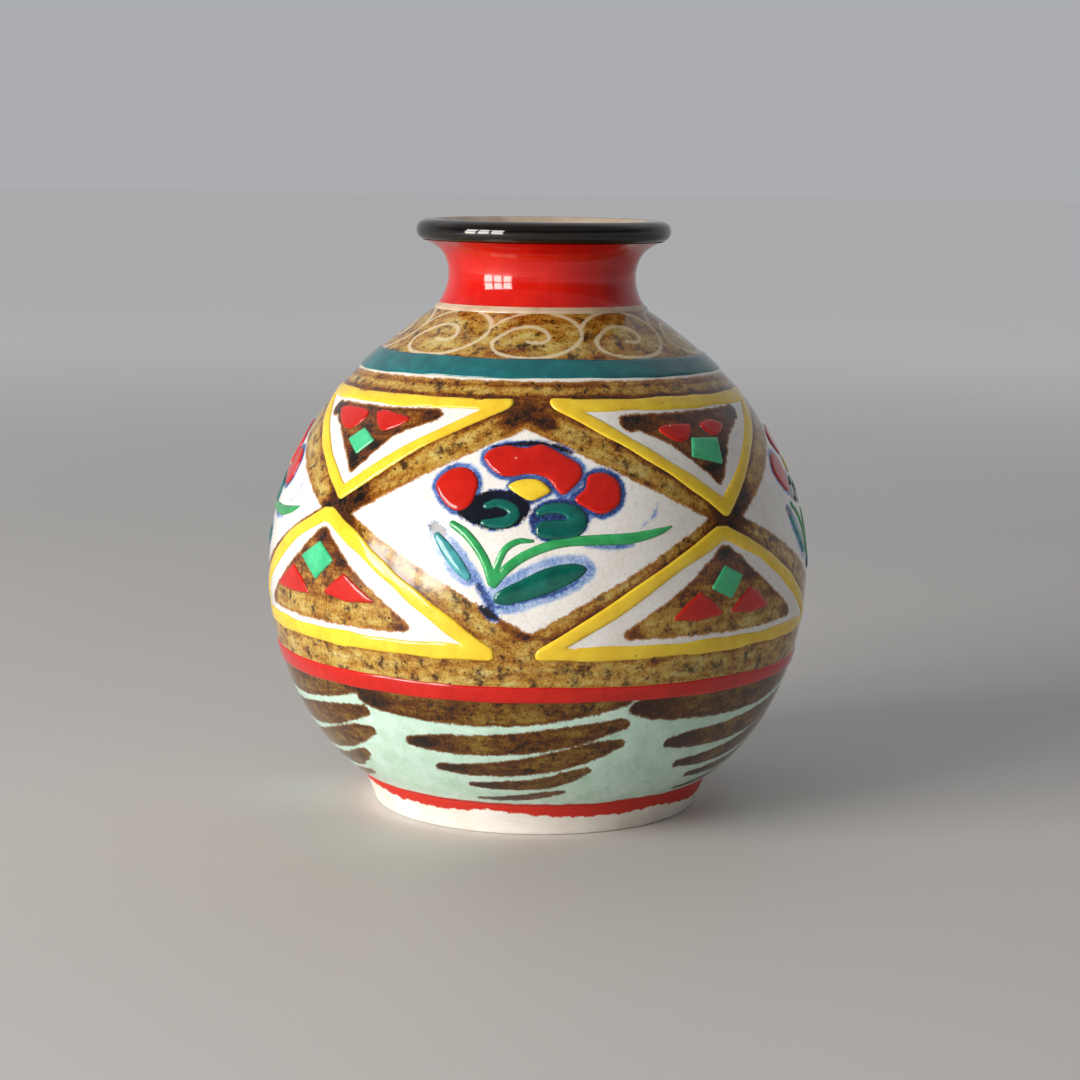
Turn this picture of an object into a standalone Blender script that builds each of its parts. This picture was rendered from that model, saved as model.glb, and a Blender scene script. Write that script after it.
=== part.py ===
"""Ball-bodied pottery vase with a waisted collar and a rolled lip.

Five turned clay sections, each seated in its neighbour with a step, as a potter lutes
leather-hard sections together with slip. Metres, +Z up. The origin is the centre of the
foot, on the surface that the vase stands on.
"""

import math

import bpy
from mathutils import Vector
from mathutils.geometry import interpolate_bezier

# Heights above the table
FOOT_RECESS = 0.0050
FOOT_SEAT = 0.0080
INNER_FLOOR = 0.0106
BELLY_HEIGHT = 0.0612
SHOULDER_HEIGHT = 0.0984
NECK_BASE = 0.1270
LIP_SEAT = 0.1434
HEIGHT = 0.1488

# Radii
FOOT_OUTER = 0.0414
FOOT_INNER = 0.0336
SEAT_RADIUS = 0.0446
BELLY_RADIUS = 0.0688
SHOULDER_RADIUS = 0.0567
NECK_BASE_RADIUS = 0.0266
THROAT_RADIUS = 0.0199
LIP_RADIUS = 0.0322
LIP_CREST_RADIUS = 0.0287
MOUTH_RADIUS = 0.0266

# Clay
WALL = 0.0046
SLIP_GAP = 0.0003
STEP_HEIGHT = 0.0030
FOOT_CHAMFER = 0.0008
COLLAR_LIP = 0.0016
MOUTH_ROUNDING = 0.0008

# Fineness of the turned surfaces
SEGMENTS = 48
CURVE_STEPS = 9
LIP_STEPS = 12
SHARP_ANGLE = math.radians(35)

# The outer outline, as Bezier stretches of (radius, height): knot, handle, handle, knot
BOWL_OUTLINE = (
    (SEAT_RADIUS, FOOT_SEAT),
    (0.0551, 0.0145),
    (BELLY_RADIUS, 0.0324),
    (BELLY_RADIUS, BELLY_HEIGHT),
)
BELLY_OUTLINE = (
    (BELLY_RADIUS, BELLY_HEIGHT),
    (BELLY_RADIUS, 0.0760),
    (0.0633, 0.0882),
    (SHOULDER_RADIUS, SHOULDER_HEIGHT),
)
SHOULDER_OUTLINE = (
    (SHOULDER_RADIUS, SHOULDER_HEIGHT),
    (0.0479, 0.1120),
    (0.0375, 0.1189),
    (NECK_BASE_RADIUS, NECK_BASE),
)
COLLAR_OUTLINE = (
    (NECK_BASE_RADIUS, NECK_BASE),
    (0.0229, 0.1307),
    (0.0215, 0.1406),
    (0.0291, LIP_SEAT - SLIP_GAP),
)
THROAT_OUTLINE = (
    (THROAT_RADIUS, NECK_BASE - WALL),
    (THROAT_RADIUS - 0.0005, 0.1345),
    (0.0203, 0.1420),
    (0.0236, LIP_SEAT + STEP_HEIGHT - SLIP_GAP),
)


def curve(outline, steps=CURVE_STEPS):
    """Points along one Bezier stretch, from its first knot to its last."""
    knot, handle, far_handle, far_knot = (Vector((r, 0, z)) for r, z in outline)
    points = interpolate_bezier(knot, handle, far_handle, far_knot, steps + 1)
    return [(point.x, point.z) for point in points]


def chain(*stretches):
    """Stretches that share end knots, joined with each shared knot kept once."""
    points = list(stretches[0])
    for stretch in stretches[1:]:
        points += stretch[1:]
    return points


def inside_of(outline_points, wall=WALL):
    """The upward outline moved a wall's thickness inwards, square to itself."""
    moved = []
    last = len(outline_points) - 1
    for i, (r, z) in enumerate(outline_points):
        r_before, z_before = outline_points[max(i - 1, 0)]
        r_after, z_after = outline_points[min(i + 1, last)]
        along = Vector((r_after - r_before, z_after - z_before)).normalized()
        moved.append((r - wall * along.y, z + wall * along.x))
    return moved


def between(points, low, high):
    return [(r, z) for r, z in points if low < z < high]


def downward(points):
    return points[::-1]


def clay(name, colour, roughness):
    """An opaque ceramic surface in one colour."""
    material = bpy.data.materials.new(name)
    material.use_nodes = True
    surface = material.node_tree.nodes["Principled BSDF"]
    surface.inputs["Base Color"].default_value = (*colour, 1)
    surface.inputs["Metallic"].default_value = 0
    surface.inputs["Roughness"].default_value = roughness
    material.diffuse_color = (*colour, 1)
    return material


def turned(name, profile, material, reaches_axis=False):
    """A solid of revolution. The profile runs up the inside and down the outside."""
    count = len(profile)
    edges = [(i, i + 1) for i in range(count - 1)]
    if not reaches_axis:
        edges.append((count - 1, 0))
    mesh = bpy.data.meshes.new(name)
    mesh.from_pydata([(r, 0, z) for r, z in profile], edges, [])
    mesh.materials.append(material)
    piece = bpy.data.objects.new(name, mesh)
    vase.objects.link(piece)

    wheel = piece.modifiers.new("wheel", "SCREW")
    wheel.axis = "Z"
    wheel.steps = SEGMENTS
    wheel.render_steps = SEGMENTS
    wheel.use_merge_vertices = True
    wheel.merge_threshold = 0.00001
    wheel.use_smooth_shade = True

    bpy.context.view_layer.update()
    graph = bpy.context.evaluated_depsgraph_get()
    solid = bpy.data.meshes.new_from_object(piece.evaluated_get(graph))
    piece.modifiers.remove(wheel)
    piece.data = solid
    bpy.data.meshes.remove(mesh)
    solid.name = name
    solid.shade_smooth()
    solid.set_sharp_from_angle(angle=SHARP_ANGLE)
    return piece


def foot_ring():
    """The unglazed turned ring that the vase stands on."""
    top = FOOT_SEAT - SLIP_GAP
    profile = [
        (FOOT_INNER, FOOT_CHAMFER),
        (FOOT_INNER, top),
        (SEAT_RADIUS, top),
        (SEAT_RADIUS - FOOT_CHAMFER, top - FOOT_CHAMFER),
        (FOOT_OUTER + FOOT_CHAMFER / 2, FOOT_CHAMFER),
        (FOOT_OUTER, 0),
        (FOOT_INNER + FOOT_CHAMFER, 0),
    ]
    return turned("foot_ring", profile, clay("bare biscuit", (0.78, 0.70, 0.60), 0.75))


def belly_bowl():
    """The lower half of the ball, with the floor and a boss that drops into the foot ring."""
    outside = curve(BOWL_OUTLINE, 2 * CURVE_STEPS)
    rim_radius = BELLY_RADIUS - WALL / 2 - SLIP_GAP / 2
    tongue_top = BELLY_HEIGHT + STEP_HEIGHT
    boss_radius = FOOT_INNER - SLIP_GAP
    floor = [(0, INNER_FLOOR), (FOOT_INNER, INNER_FLOOR + FOOT_CHAMFER / 2)]
    tongue = [
        (BELLY_RADIUS - WALL, tongue_top),
        (rim_radius, tongue_top),
        (rim_radius, BELLY_HEIGHT),
    ]
    boss = [(boss_radius, FOOT_SEAT), (boss_radius, FOOT_RECESS), (0, FOOT_RECESS)]
    profile = floor + inside_of(outside) + tongue + downward(outside) + boss
    glaze = clay("mint and umber glaze", (0.42, 0.58, 0.45), 0.12)
    return turned("belly_bowl", profile, glaze, reaches_axis=True)


def shoulder_dome():
    """The upper half of the ball, rebated over the bowl's tongue."""
    outside = chain(curve(BELLY_OUTLINE), curve(SHOULDER_OUTLINE))
    seam = BELLY_HEIGHT + SLIP_GAP
    top = NECK_BASE - SLIP_GAP
    rebate_top = BELLY_HEIGHT + STEP_HEIGHT + SLIP_GAP
    rebate_radius = BELLY_RADIUS - WALL / 2 + SLIP_GAP / 2
    inside = inside_of(outside)
    socket = inside[-1][0]
    rebate = [
        (BELLY_RADIUS, seam),
        (rebate_radius, seam),
        (rebate_radius, rebate_top),
        (inside[0][0], rebate_top),
    ]
    inner_wall = between(inside, rebate_top, top)
    mouth = [(socket, top), (NECK_BASE_RADIUS, top)]
    outer_wall = downward(between(outside, seam, top))
    profile = rebate + inner_wall + mouth + outer_wall
    glaze = clay("ochre and white glaze", (0.55, 0.38, 0.16), 0.12)
    return turned("shoulder_dome", profile, glaze)


def neck_collar():
    """The waisted collar, with a spigot down into the dome and a lip up into the rim."""
    outside = curve(COLLAR_OUTLINE)
    throat = curve(THROAT_OUTLINE)
    shoulder_end = chain(curve(BELLY_OUTLINE), curve(SHOULDER_OUTLINE))
    spigot_radius = inside_of(shoulder_end)[-1][0] - SLIP_GAP
    lip_radius = throat[-1][0] + COLLAR_LIP
    lip = [(lip_radius, throat[-1][1]), (lip_radius, LIP_SEAT - SLIP_GAP)]
    spigot = [(spigot_radius, NECK_BASE), (spigot_radius, throat[0][1])]
    profile = throat + lip + downward(outside) + spigot
    return turned("neck_collar", profile, clay("signal red glaze", (0.70, 0.05, 0.02), 0.12))


def rim_roll():
    """The rolled lip: a half-round bead outside, sloping in to the throat."""
    rise = (HEIGHT - LIP_SEAT) / 2
    reach = LIP_RADIUS - LIP_CREST_RADIUS
    bead = []
    for i in range(LIP_STEPS + 1):
        turn = math.pi / 2 - math.pi * i / LIP_STEPS
        bead.append(
            (
                LIP_CREST_RADIUS + reach * math.cos(turn),
                LIP_SEAT + rise + rise * math.sin(turn),
            )
        )
    throat_radius, throat_top = THROAT_OUTLINE[-1]
    socket = throat_radius + COLLAR_LIP + SLIP_GAP
    shelf = throat_top + SLIP_GAP
    inside = [
        (socket, LIP_SEAT),
        (socket, shelf),
        (throat_radius, shelf),
        (MOUTH_RADIUS, HEIGHT - 2 * MOUTH_ROUNDING),
        (MOUTH_RADIUS + MOUTH_ROUNDING, HEIGHT - MOUTH_ROUNDING / 2),
    ]
    return turned("rim_roll", inside + bead, clay("black-brown glaze", (0.02, 0.014, 0.01), 0.1))


for leftover in list(bpy.data.objects):
    bpy.data.objects.remove(leftover)

vase = bpy.data.collections.new("pottery_vase")
bpy.context.scene.collection.children.link(vase)

foot_ring()
belly_bowl()
shoulder_dome()
neck_collar()
rim_roll()
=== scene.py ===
import math

import bpy
import numpy as np
from mathutils import Matrix, Vector


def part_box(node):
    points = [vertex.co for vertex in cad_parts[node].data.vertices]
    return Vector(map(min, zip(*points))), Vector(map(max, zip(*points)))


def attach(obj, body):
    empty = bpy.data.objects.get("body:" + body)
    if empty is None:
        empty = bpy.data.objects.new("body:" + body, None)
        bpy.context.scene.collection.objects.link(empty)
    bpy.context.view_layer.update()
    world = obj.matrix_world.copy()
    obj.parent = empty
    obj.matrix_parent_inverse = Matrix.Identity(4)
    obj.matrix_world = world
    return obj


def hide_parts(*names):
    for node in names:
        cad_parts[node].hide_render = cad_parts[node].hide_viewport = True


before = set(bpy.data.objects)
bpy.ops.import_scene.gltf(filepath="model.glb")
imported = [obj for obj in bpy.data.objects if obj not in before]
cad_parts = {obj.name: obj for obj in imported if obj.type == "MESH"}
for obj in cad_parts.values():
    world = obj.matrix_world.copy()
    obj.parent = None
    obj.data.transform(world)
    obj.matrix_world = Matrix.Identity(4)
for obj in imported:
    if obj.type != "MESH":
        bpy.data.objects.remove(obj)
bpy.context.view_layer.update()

# THE FOOT RING
# A ring of the white clay itself, cut on the wheel and left without the clear glaze. The brush
# that edged the bowl in red caught its upper edge, in a broken line.
MM = 0.001
SLIP_GAP = 0.3
FOOT_BORE = 33.6
FOOT_RECESS = 5.0
foot_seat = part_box("foot_ring")[1].z / MM + SLIP_GAP


def all_round(sides):
    """The turns of a ring's points from the front, as a column."""
    return np.linspace(0, 2 * math.pi, sides, endpoint=False)[:, None]


def about_axis(turn, radius, height):
    return np.stack([radius * np.sin(turn), -radius * np.cos(turn), height + 0 * turn], -1)


def wheel_faces(sides, rows, closed):
    """Quads of a turned skin, for points stored turn by turn with each turn's rows up its outside."""
    side, row = np.meshgrid(np.arange(sides), np.arange(rows if closed else rows - 1), indexing="ij")
    beside, above = (side + 1) % sides, (row + 1) % rows
    quads = [side * rows + row, beside * rows + row, beside * rows + above, side * rows + above]
    return np.stack(quads, -1).reshape(-1, 4).tolist()


def new_piece(name, points, faces, *materials):
    """A smooth-shaded mesh that rides on the vase. Its points are in mm."""
    mesh = bpy.data.meshes.new(name)
    mesh.from_pydata((points.reshape(-1, 3) * MM).tolist(), [], faces)
    for material in materials:
        mesh.materials.append(material)
    mesh.shade_smooth()
    piece = bpy.data.objects.new(name, mesh)
    bpy.context.scene.collection.objects.link(piece)
    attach(piece, "root")
    return piece


def turned(name, sides, profile, material):
    """A ring turned from a closed profile of (radius, height) in mm, which runs up its outside."""
    radius, height = np.array(profile, float).T[:, None, :]
    points = about_axis(all_round(sides), radius, height)
    piece = new_piece(name, points, wheel_faces(sides, len(profile), True), material)
    piece.data.set_sharp_from_angle(angle=math.radians(50))
    return piece


def tone(code):
    """An sRGB hex colour as linear RGBA."""
    parts = [int(code[i : i + 2], 16) / 255 for i in (1, 3, 5)]
    return (*[p / 12.92 if p <= 0.04045 else ((p + 0.055) / 1.055) ** 2.4 for p in parts], 1)


def finish_of(name, roughness, ior):
    """A new material, its node tree, its surface shader, and the place on the piece in metres."""
    material = bpy.data.materials.new(name)
    material.use_nodes = True
    tree = material.node_tree
    surface = tree.nodes["Principled BSDF"]
    surface.inputs["Roughness"].default_value = roughness
    surface.inputs["IOR"].default_value = ior
    return material, tree, surface, tree.nodes.new("ShaderNodeTexCoord").outputs["Object"]


def add(tree, kind, inputs, out=0, stops=(), **settings):
    """Adds one node with its settings and links. An input takes a number, a hex colour or a socket."""
    made = tree.nodes.new("ShaderNode" + kind)
    for name, value in settings.items():
        setattr(made, name, value)
    for name, value in inputs.items():
        if isinstance(value, bpy.types.NodeSocket):
            tree.links.new(value, made.inputs[name])
        else:
            made.inputs[name].default_value = tone(value) if isinstance(value, str) else value
    for position, _ in stops[1:-1]:
        made.color_ramp.elements.new(position)
    for mark, (position, code) in zip(made.color_ramp.elements if stops else (), stops):
        mark.position, mark.color = position, tone(code)
    return made.outputs[out]


def dress(tree, surface, colour, *reliefs):
    """Gives a finish its colour, and its relief: each a height, a strength, and a depth in mm."""
    tree.links.new(colour, surface.inputs["Base Color"])
    under = {}
    for height, strength, depth in reliefs:
        relief = {"Height": height, "Strength": strength, "Distance": depth * MM, **under}
        under = {"Normal": add(tree, "Bump", relief, out="Normal")}
        tree.links.new(under["Normal"], surface.inputs["Normal"])


# Bisque: matt, slightly chalky white clay, with warm stains in the turning marks. Under the bowl
# the red smear hangs to about 5 mm off the table, broken by the grit and drooping here and there.
RGBA = {"out": 2, "data_type": "RGBA"}
BISQUE_GRIT = 0.5
SMEAR_EDGE = 5.0
biscuit, tree, surface, place = finish_of("Turned white bisque", 0.5, 1.45)
grit, stain, broken, drooping = (
    add(tree, "TexNoise", {"Vector": place, "Scale": 1 / (size * MM), "Detail": detail, "Roughness": rough})
    for size, detail, rough in ((BISQUE_GRIT, 3, 0.5), (9, 4, 0.5), (3, 5, 0.65), (34, 1, 0.5))
)
ringed = add(tree, "Mapping", {"Vector": place, "Scale": (0.12, 0.12, 1.4)})
rings = add(tree, "TexNoise", {"Vector": ringed, "Scale": 1 / MM, "Detail": 3})
chalks = ((0.35, "#f6f5f2"), (0.6, "#ece8e1"), (0.78, "#d8c9b2"))
chalk = add(tree, "ValToRGB", {"Fac": stain}, stops=chalks)
chalk = add(tree, "Mix", {0: rings, 6: chalk, 7: "#ece6dd"}, blend_type="MULTIPLY", **RGBA)
smear = add(tree, "SeparateXYZ", {0: place}, out="Z")
for noise, most in ((broken, 1.4), (drooping, 3.6)):
    noise = add(tree, "MapRange", {"Value": noise, "To Min": -most * MM, "To Max": most * MM})
    smear = add(tree, "Math", {0: smear, 1: noise}, operation="ADD")
smear = {"Value": smear, "From Min": SMEAR_EDGE * MM, "From Max": (SMEAR_EDGE + 0.4) * MM}
smear = add(tree, "MapRange", smear)
colour = add(tree, "Mix", {0: smear, 6: chalk, 7: "#c32414"}, **RGBA)
dress(tree, surface, colour, (grit, 0.25, 0.05), (rings, 0.35, 0.12))

foot_profile = [(40.8, 0), (41.3, 0.12), (41.62, 0.5), (41.8, 1.2), (42.3, 2.6), (42.9, 4)]
foot_profile += [(43.5, 5.4), (44.1, 6.7), (44.5, 7.5), (44.55, 8), (44, 8.3)]
foot_profile += [(FOOT_BORE, 8.3), (FOOT_BORE, 0.9), (FOOT_BORE + 0.3, 0.3), (FOOT_BORE + 0.9, 0)]
foot = turned("turned_foot_ring", 360, foot_profile, biscuit)
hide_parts("foot_ring")

# THE BALL
# Two bowls thrown apart and luted rim to rim while leather-hard, then turned to one fair curve.
# Everything on it is placed by its turn from the front and by mm of way up its wall.
WALL_THICKNESS = 4.6
BALL_SIDES = 640
BALL_ROW = 0.62
COARSE_ROW = 5.0
OFF_THE_WALL = 400.0


def reach(section, height, outwards=False):
    """How far a clay section's outside, or its bore, is from the axis at one height, in mm."""
    start, way = ((1, 1e-6, height * MM), (-1, 0, 0))
    if outwards:
        start, way = ((0, 0, height * MM), (1, 1e-4, 0))
    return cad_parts[section].ray_cast(start, way)[1].x / MM


seam, neck_root = (corner.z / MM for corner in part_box("shoulder_dome"))
seam, neck_root = seam - SLIP_GAP, neck_root + SLIP_GAP
bowl_heights = np.linspace(foot_seat + 0.2, seam - 0.3, 70)
dome_heights = np.linspace(seam + 0.8, neck_root - 0.5, 90)
wall_heights = np.concatenate([bowl_heights, dome_heights])
wall_radii = [reach("belly_bowl", height) for height in bowl_heights]
wall_radii += [reach("shoulder_dome", height) for height in dome_heights]
way_up = np.concatenate([[0], np.cumsum(np.hypot(np.diff(wall_radii), np.diff(wall_heights)))])
WALL_LENGTH = way_up[-1] + 0.6
wall_radius = np.polynomial.Chebyshev.fit(way_up + 0.3, wall_radii, 13)
wall_height = np.polynomial.Chebyshev.fit(way_up + 0.3, wall_heights, 13)
seam_up = float(np.interp(seam, wall_heights, way_up + 0.3))


def on_wall(turn, up, lift=0.0):
    """Points on the wall, or lifted square to it, in mm. The thrower's hands left a faint swell."""
    out, rise = wall_height.deriv()(up), -wall_radius.deriv()(up)
    fade = np.sin(math.pi * np.clip(up / WALL_LENGTH, 0, 1))
    swell = fade * (0.10 * np.sin(2 * turn + 0.06 * up) + 0.05 * np.sin(5 * turn - 0.11 * up + 1))
    move = (lift + swell) / np.hypot(out, rise)
    return about_axis(turn, wall_radius(up) + move * out, wall_height(up) + move * rise)


def ball_section(name, low, high, before, after):
    """A bowl: plain rings before, its painted outside, its inside, and plain rings after, in mm."""
    turn = all_round(BALL_SIDES)
    outer = np.linspace(low, high, round((high - low) / BALL_ROW))[None, :]
    inner = np.linspace(high, low, round((high - low) / COARSE_ROW))[None, :]
    rings = [np.array(ring, float).reshape(-1, 2).T[:, None, :] for ring in (before, after)]
    first, last = (about_axis(turn, *ring) for ring in rings)
    points = np.concatenate([first, on_wall(turn, outer), on_wall(turn, inner, -WALL_THICKNESS), last], 1)
    rows = points.shape[1]
    faces = wheel_faces(BALL_SIDES, rows, closed=not len(before))
    if len(before):
        starts = rows * np.arange(BALL_SIDES)
        faces += [tuple(starts[::-1].tolist()), tuple((starts + rows - 1).tolist())]
    piece = new_piece(name, points, faces)
    # The two sections share their seam's normals, so the gloss runs over it unbroken
    step = 0.01
    along = on_wall(turn + step, outer) - on_wall(turn - step, outer)
    upward = on_wall(turn, outer + step) - on_wall(turn, outer - step)
    facing = np.zeros_like(points)
    painted = slice(len(before), len(before) + outer.shape[1])
    facing[:, painted] = np.cross(along, upward)
    facing /= np.maximum(np.linalg.norm(facing, axis=-1, keepdims=True), 1e-9)
    piece.data.set_sharp_from_angle(angle=math.radians(40))
    piece.data.normals_split_custom_set_from_vertices(facing.reshape(-1, 3).tolist())
    ups = np.full(points.shape[:2], OFF_THE_WALL)
    ups[:, painted] = outer
    return piece, (turn + 0 * ups).ravel(), ups.ravel()


FLOOR_THICKNESS = 5.6
boss = FOOT_BORE - SLIP_GAP
floor_height = FOOT_RECESS + FLOOR_THICKNESS
bowl, bowl_turns, bowl_ups = ball_section(
    "thrown_lower_bowl", 0, seam_up,
    ((2, FOOT_RECESS), (boss, FOOT_RECESS), (boss, foot_seat), (43.8, foot_seat)),
    ((FOOT_BORE, floor_height + 0.4), (2, floor_height)),
)
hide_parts("belly_bowl")
dome, dome_turns, dome_ups = ball_section("thrown_upper_dome", seam_up, WALL_LENGTH, (), ())
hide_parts("shoulder_dome")
turns = np.concatenate([bowl_turns, dome_turns])
ups = np.concatenate([bowl_ups, dome_ups])
radii = wall_radius(np.clip(ups, 0, WALL_LENGTH))


def note(name, values, kind="FLOAT"):
    """Keeps a value at every point of the ball, for the glaze to read."""
    count = len(bowl_ups)
    for section, part in ((bowl, values[:count]), (dome, values[count:])):
        kept = section.data.attributes.new(name, kind, "POINT")
        kept.data.foreach_set("value" if kind == "FLOAT" else "vector", part.astype(np.float32).ravel())


note("way_up", ups)

# THE LATTICE AND PANELS
# Manganese umber, brushed on the white ground in crossing bars with a panel over and under each
# crossing. The brush left streaks along its way, and dark pools where two strokes meet.
FLOWER_TURN = math.radians(-2)
DIAMOND = ((-1, 103.4), (22, 91.5), (45.2, 80), (22, 66.5), (0.8, 54.6), (-22, 67), (-46, 79.6), (-23, 92))
UPPER_FRAME = ((0, 83.3), (9, 90.4), (18, 98.2), (33.5, 110.2), (-33.5, 110.2), (-17, 96.8))
LOWER_FRAME = (
    (-1.2, 77.6), (1.2, 77.6), (13, 71.8), (25, 64.4), (37, 56.6), (47.3, 49.6),
    (-47.3, 49.6), (-37, 56.6), (-25, 64.4), (-13, 71.8),
)
UPPER_PANEL = (
    (0.5, 88.6), (-2.6, 91.6), (-11, 99.4), (-19.4, 104.4), (-20.6, 106.6), (-17, 107.6),
    (0, 107.8), (16, 108.2), (20, 106.8), (18, 104.2), (10.4, 100), (3.6, 91.6),
)
LOWER_PANEL = (
    (0, 74.8), (-2.4, 73.8), (-13, 65.4), (-26, 56.6), (-28.6, 54), (-25, 52.9),
    (0, 52.6), (24, 52.9), (28.4, 54), (26, 56.8), (12.5, 65.8), (2.4, 73.8),
)
# Where each panel's middle is, and how far the painter set its tip off the pattern
UPPER_PANELS = ((-47, 1.2), (43, -1.1), (133, 1), (223, -1.3))
LOWER_PANELS = ((-49.5, 1), (41, -1.5), (130.5, 0.7), (221, -1.2))
UPPER_SPAN = (110.2, 83.3)
LOWER_SPAN = (49.6, 77.6)


def fair_line(points, steps=6, closed=False):
    """A smooth line through given points, which may carry a half width as well."""
    p = np.array(points, float)
    p = np.concatenate([p[-1:], p, p[:2]] if closed else [2 * p[:1] - p[1:2], p, 2 * p[-1:] - p[-2:-1]])
    t = np.arange(steps)[:, None] / steps
    parts = []
    for a, b, c, d in zip(p, p[1:], p[2:], p[3:]):
        bend, twist = a - 2.5 * b + 2 * c - d / 2, 1.5 * (b - c) + (d - a) / 2
        parts.append(b + (c - a) * t / 2 + bend * t**2 + twist * t**3)
    return np.concatenate(parts if closed else parts + [p[-2:-1]])


def from_line(x, up, line, closed=False):
    """How far points are from a brush line of (x, up, half width), below zero inside its stroke."""
    nearest = np.full(x.shape, 99.0)
    for a, b in zip(line, np.roll(line, -1, 0) if closed else line[1:]):
        run_x, run_up, run_width = b - a
        share = ((x - a[0]) * run_x + (up - a[1]) * run_up) / max(run_x**2 + run_up**2, 1e-9)
        share = np.clip(share, 0, 1)
        gap = np.hypot(x - a[0] - share * run_x, up - a[1] - share * run_up)
        nearest = np.minimum(nearest, gap - a[2] - share * run_width)
    return nearest


def from_shape(x, up, outline):
    """How far points are from a closed outline, below zero inside it."""
    outline = np.array(outline, float)
    inside = np.zeros(x.shape, bool)
    for a, b in zip(outline, np.roll(outline, -1, 0)):
        crosses = (a[1] > up) != (b[1] > up)
        inside ^= crosses & (x < a[0] + (up - a[1]) * (b[0] - a[0]) / (b[1] - a[1] + 1e-12))
    gap = from_line(x, up, np.column_stack([outline, 0 * outline[:, 0]]), closed=True)
    return np.where(inside, -gap, gap)


def turn_from(turn, centre):
    """The turn from a centre, the short way round."""
    return (turn - centre + math.pi) % (2 * math.pi) - math.pi


def drawn_up(up, shift, span):
    """Where a point of a panel was before its tip was shifted."""
    bar, tip = span
    share = shift / (bar - tip)
    return (up - share * bar) / (1 - share)


def on_panels(panels, span):
    """Each wall point in the drawing of its nearest panel: mm across, and mm up."""
    from_each = np.stack([turn_from(turns, math.radians(middle)) for middle, _ in panels])
    nearest = np.abs(from_each).argmin(0)
    shifts = np.array([shift for _, shift in panels])[nearest]
    return np.take_along_axis(from_each, nearest[None], 0)[0] * radii, drawn_up(ups, shifts, span)


def pool(x, up, *spots):
    """A soft dark spot at each (x, up, radius)."""
    return sum(np.exp(-(((x - a) ** 2 + (up - b) ** 2) / size**2)) for a, b, size in spots)


# How far up the wall the crossings are, and the middle and half width of each band of umber
CROSSINGS_UP = 80
BASE_BAND = (43.6, 4.8)
TOP_BAND = (114.2, 3.2)
flower_x = ((turns - FLOWER_TURN + math.pi / 4) % (math.pi / 2) - math.pi / 4) * radii
diamond = from_shape(flower_x, ups, DIAMOND)
upper_x, upper_up = on_panels(UPPER_PANELS, UPPER_SPAN)
lower_x, lower_up = on_panels(LOWER_PANELS, LOWER_SPAN)
upper_frame = from_shape(upper_x, upper_up, UPPER_FRAME)
lower_frame = from_shape(lower_x, lower_up, LOWER_FRAME)
upper_panel = from_shape(upper_x, upper_up, fair_line(UPPER_PANEL, closed=True))
lower_panel = from_shape(lower_x, lower_up, fair_line(LOWER_PANEL, closed=True))

from_crossings = np.abs(ups - CROSSINGS_UP)
bars = np.maximum.reduce([-diamond, -upper_frame, -lower_frame, from_crossings - 33])
base_band, top_band = (np.abs(ups - middle) - half for middle, half in (BASE_BAND, TOP_BAND))
bands = np.minimum(np.minimum(bars, base_band), top_band)
panels = np.minimum(upper_panel, lower_panel)
# The painter ended each panel stroke in a round blob
for panel_x, panel_up, blobs in (
    (upper_x, upper_up, ((17.6, 106.3, 2.2), (-19, 105.2, 2.5))),
    (lower_x, lower_up, ((26.4, 54.4, 1.6), (-26.6, 54.3, 1.7))),
):
    for x, up, size in blobs:
        panels = np.minimum(panels, np.hypot(panel_x - x, panel_up - up) - size)
umber = np.minimum(bands, panels)
from_enamel = np.minimum(np.abs(upper_frame), np.abs(lower_frame))
load = 0.3 + 0.34 * np.exp(-(((from_enamel - 1.7) / 1.3) ** 2))
load += 0.62 * pool(upper_x, ups, (5, 84, 4.5), (2, 80.5, 4))
load += 0.5 * pool(lower_x, ups, (8, 82, 4.5), (0, 81, 3))
load += 0.62 * pool(flower_x, ups, (-1, 108.4, 3.6), (-5, 105.6, 2.5), (4, 105.2, 2.5))
load += 0.62 * pool(flower_x, ups, (0, 51, 5), (-7, 60, 2.5))
load += 0.3 * pool(ups, 0, (115.8, 0, 0.6)) + 0.22 * pool(ups, 0, (112.6, 0, 0.5))
load = np.where(np.abs(base_band) < 4.7, np.minimum(load, 0.36), load)
load = np.where(upper_panel < 1.2, 0.7, load)
load = np.where(lower_panel < 1.2, 0.3 + 0.32 * np.clip((lower_up - 55) / 12, 0, 1), load)
ends = pool(upper_x, upper_up, (17.2, 106.4, 2.8), (-18.8, 105.6, 3), (5, 97, 2.6), (-1, 93, 2.4))
ends += pool(lower_x, lower_up, (25.6, 54.4, 2.2), (-26, 54.2, 2), (8, 68.4, 2.6), (0, 73, 2))
load += np.where(panels < 1.2, 0.4 * ends, 0)

# THE SCROLL BAND
# Ochre round the shoulder, brushed on turning, with nine scrolls wiped back to the cream slip.
SCROLLS = 9
SCROLL_START = -7
SCROLL_BAND = (124, 142.2)
SCROLL_HALF_WIDTH = 0.5
SCROLL = (
    (2, 130.6), (7, 130.3), (10, 131.5), (10.2, 133), (8, 135), (3, 136.2), (-2, 135.8), (-6, 134.5),
    (-10, 132), (-11.5, 130), (-10, 127.5), (-6, 125.7), (0, 125), (7, 125), (13, 126.1), (18, 128.1),
    (22, 130.6), (24, 133), (24.3, 136), (22, 138.5), (18, 140.3), (13, 141.3),
)
SCROLL_TAIL = ((24.4, 135.5), (29, 138.6), (35, 140.8), (41, 141.6))


def placed(points):
    """Points given in degrees and mm up the wall, as mm across and mm up."""
    return [(math.radians(p[0]) * wall_radius(p[1]), *p[1:]) for p in points]


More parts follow.
